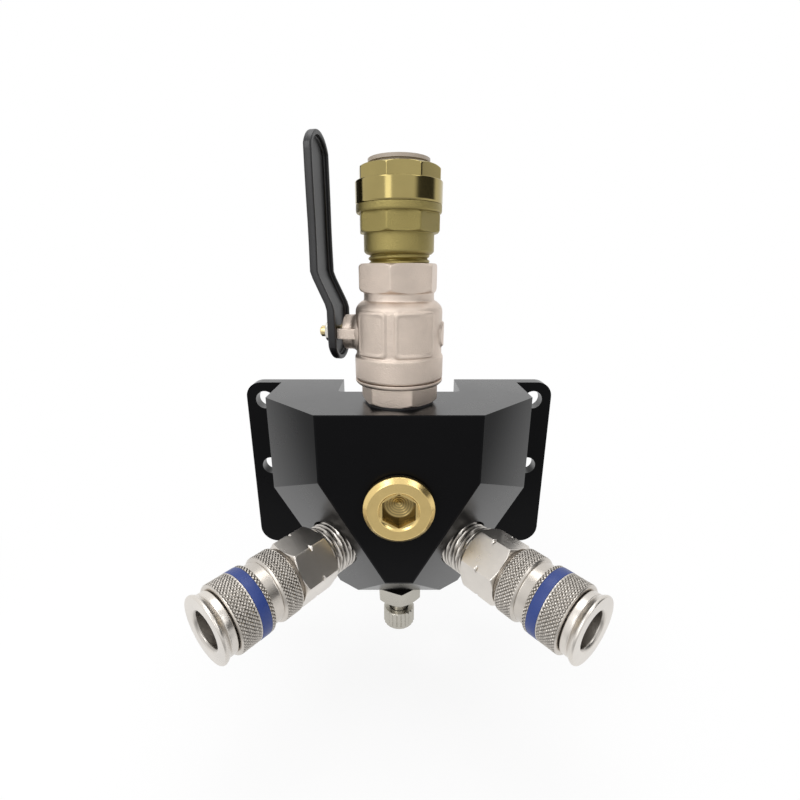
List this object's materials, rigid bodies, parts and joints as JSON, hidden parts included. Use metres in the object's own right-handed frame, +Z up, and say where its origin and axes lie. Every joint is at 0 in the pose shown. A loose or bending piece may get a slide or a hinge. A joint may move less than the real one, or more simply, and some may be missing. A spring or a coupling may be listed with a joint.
{
  "type": "compressed air wall manifold",
  "caption": "Wall-mounted air manifold block with a ball valve and push-fit inlet on top, angled quick couplers, a front plug and a drain cock",
  "frame": {"origin": "centre of the four wall screw holes, on the wall plane", "axes": "+Z up, +X to the right of someone facing the wall, the object stands out towards -Y"},
  "size_m": [0.1416, 0.0933, 0.1969],
  "materials": {
    "black_anodised": "black anodised, faint machining grain",
    "blasted_nickel": "nickel plated over a blasted casting",
    "nickel_brass": "turned and nickel plated",
    "knurled_nickel": "knurled and nickel plated",
    "bright_nickel": "bright nickel plate",
    "cast_brass": "natural forged brass",
    "polished_brass": "polished brass",
    "turned_brass": "turned brass",
    "plain_brass": "turned brass",
    "chrome_ball": "polished chrome plate",
    "zinc_steel": "zinc plated",
    "spring_steel": "drawn wire",
    "black_vinyl": "glossy vinyl dip over pressed steel",
    "black_rubber": "matte rubber",
    "white_seal": "white sealing plastic",
    "grey_plastic": "warm grey moulded plastic",
    "blue_plastic": "blue moulded plastic"
  },
  "bodies": {
    "block": {"manifold_block": "black_anodised", "inlet_seal_washer": "black_rubber", "valve_body": "blasted_nickel", "valve_end_adapter": "blasted_nickel", "upper_ball_seat": "white_seal", "lower_ball_seat": "white_seal", "stem_thrust_washer": "white_seal", "stem_packing": "white_seal", "stem_gland_nut": "plain_brass", "pushfit_body": "cast_brass", "pushfit_cap": "polished_brass", "pushfit_o_ring": "black_rubber", "pushfit_spacer": "grey_plastic", "front_plug": "turned_brass", "plug_washer": "black_rubber", "drain_body": "bright_nickel", "left_coupler_body": "nickel_brass", "left_rear_ring": "knurled_nickel", "left_nose": "nickel_brass", "left_locking_balls": "zinc_steel", "left_nose_seal": "black_rubber", "left_poppet_spring": "spring_steel", "left_sleeve_spring": "spring_steel", "right_coupler_body": "nickel_brass", "right_rear_ring": "knurled_nickel", "right_nose": "nickel_brass", "right_locking_balls": "zinc_steel", "right_nose_seal": "black_rubber", "right_poppet_spring": "spring_steel", "right_sleeve_spring": "spring_steel"},
    "lever": {"valve_ball": "chrome_ball", "valve_stem": "plain_brass", "valve_lever": "black_vinyl", "lever_nut": "zinc_steel"},
    "collet": {"pushfit_collet": "grey_plastic"},
    "drain_seal": {"drain_tip_seal": "black_rubber"},
    "drain_knob": {"drain_knob": "bright_nickel", "spindle_o_ring": "black_rubber"},
    "left_sleeve": {"left_sleeve": "knurled_nickel", "left_colour_band": "blue_plastic"},
    "left_poppet": {"left_poppet": "plain_brass"},
    "right_sleeve": {"right_sleeve": "knurled_nickel", "right_colour_band": "blue_plastic"},
    "right_poppet": {"right_poppet": "plain_brass"}
  },
  "joints": [
    {"name": "lever_turn", "type": "hinge", "parent": "block", "child": "lever", "pos_m": [0, -0.0355, 0.0495], "axis": [0.9816, -0.1908, 0], "range_deg": [0, 90]},
    {"name": "collet_press", "type": "slide", "parent": "block", "child": "collet", "axis": [0, 0, -1], "range_m": [0, 0.0011]},
    {"name": "drain_seal_lift", "type": "slide", "parent": "block", "child": "drain_seal", "axis": [0, 0, -1], "range_m": [0, 0.0015]},
    {"name": "drain_turn", "type": "hinge", "parent": "drain_seal", "child": "drain_knob", "pos_m": [0, -0.031, -0.078], "axis": [0, 0, 1], "range_deg": [0, 540]},
    {"name": "left_sleeve_slide", "type": "slide", "parent": "block", "child": "left_sleeve", "axis": [0.6332, 0.772, 0.0557], "range_m": [0, 0.0035], "stiffness_N_per_m": 1500, "springref_m": -0.002, "deforming": ["left_sleeve_spring"]},
    {"name": "left_poppet_slide", "type": "slide", "parent": "block", "child": "left_poppet", "axis": [0.6332, 0.772, 0.0557], "range_m": [0, 0.005], "stiffness_N_per_m": 800, "springref_m": -0.002, "deforming": ["left_poppet_spring"]},
    {"name": "right_sleeve_slide", "type": "slide", "parent": "block", "child": "right_sleeve", "axis": [-0.6332, 0.772, 0.0557], "range_m": [0, 0.0035], "stiffness_N_per_m": 1500, "springref_m": -0.002, "deforming": ["right_sleeve_spring"]},
    {"name": "right_poppet_slide", "type": "slide", "parent": "block", "child": "right_poppet", "axis": [-0.6332, 0.772, 0.0557], "range_m": [0, 0.005], "stiffness_N_per_m": 800, "springref_m": -0.002, "deforming": ["right_poppet_spring"]}
  ],
  "couplings": [
    {"joint": "drain_seal_lift", "follows": "drain_turn", "m_per_rad": 0.00015915}
  ]
}
